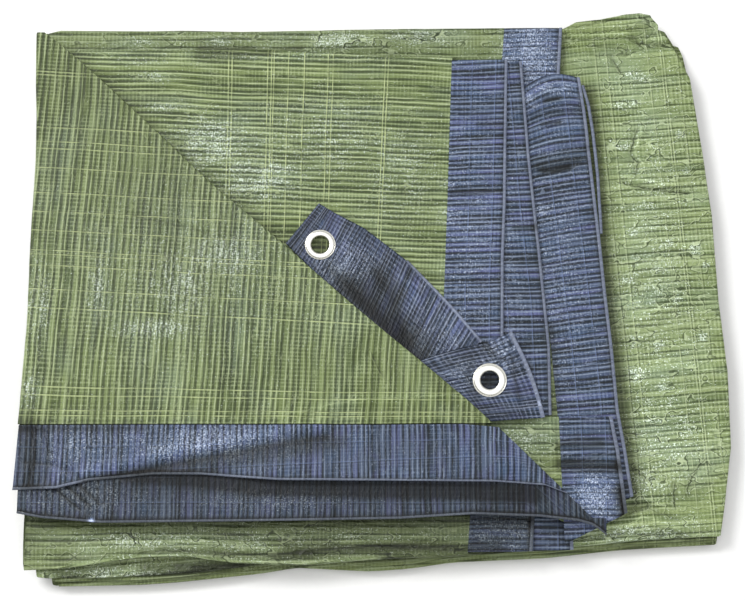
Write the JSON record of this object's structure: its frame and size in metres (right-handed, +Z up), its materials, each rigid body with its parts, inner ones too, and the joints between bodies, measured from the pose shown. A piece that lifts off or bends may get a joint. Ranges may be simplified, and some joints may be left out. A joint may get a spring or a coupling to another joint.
{
  "type": "folded tarpaulin",
  "caption": "Woven polyethylene tarpaulin folded back and forth into a flat pile, its corner turned down along a diagonal, with blue borders, corner tabs and metal eyelets.",
  "frame": {"origin": "under the middle of the pile's bounding box, on the surface that the pile lies on", "axes": "+X along the long side, to the right as pictured; +Y from the front edge to the back edge; +Z up through the plies"},
  "size_m": [0.469, 0.3936, 0.0376],
  "materials": {
    "cloth": "olive woven polyethylene, satin, creased",
    "border": "slate blue woven polyethylene strip, satin",
    "eyelet_metal": "pressed, satin"
  },
  "bodies": {
    "root": {"tarp_cloth": "cloth", "border_lower": "border", "border_middle": "border", "border_third": "border", "border_turned": "border", "border_second": "border", "border_first": "border", "border_flap_under": "border", "border_flap_top": "border", "tab_upper": "border", "eyelet_upper": "eyelet_metal", "tab_lower": "border", "eyelet_lower": "eyelet_metal"}
  },
  "joints": []
}
